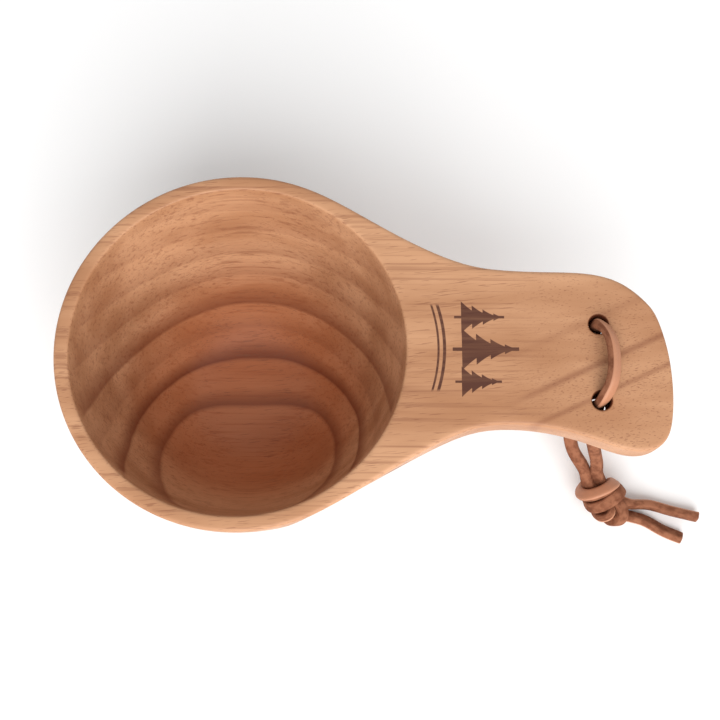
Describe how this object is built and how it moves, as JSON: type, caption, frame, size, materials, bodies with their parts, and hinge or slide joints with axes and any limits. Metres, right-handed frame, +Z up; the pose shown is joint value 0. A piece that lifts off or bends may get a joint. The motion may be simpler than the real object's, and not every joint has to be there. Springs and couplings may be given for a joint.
{
  "type": "wooden cup",
  "caption": "Carved wooden drinking cup with a flat paddle handle and a knotted leather lace through its holes.",
  "frame": {"origin": "centre of the flat foot that the cup stands on", "axes": "+Z up along the bowl's axis, +X along the handle away from the bowl"},
  "size_m": [0.1734, 0.092, 0.0674],
  "materials": {
    "wood": "oiled, satin",
    "leather": "vegetable-tanned lace, smooth grain face and suede sides"
  },
  "bodies": {
    "cup": {"cup": "wood", "lace_bridge": "leather"},
    "lace": {"lace_strand_far": "leather", "lace_strand_near": "leather", "lace_knot": "leather", "lace_tail_long": "leather", "lace_tail_short": "leather"}
  },
  "joints": [
    {"name": "lace_swing", "type": "hinge", "parent": "cup", "child": "lace", "pos_m": [0.09, -0.00375, 0.0502], "axis": [0, 1, 0], "range_deg": [-75, 0]}
  ]
}
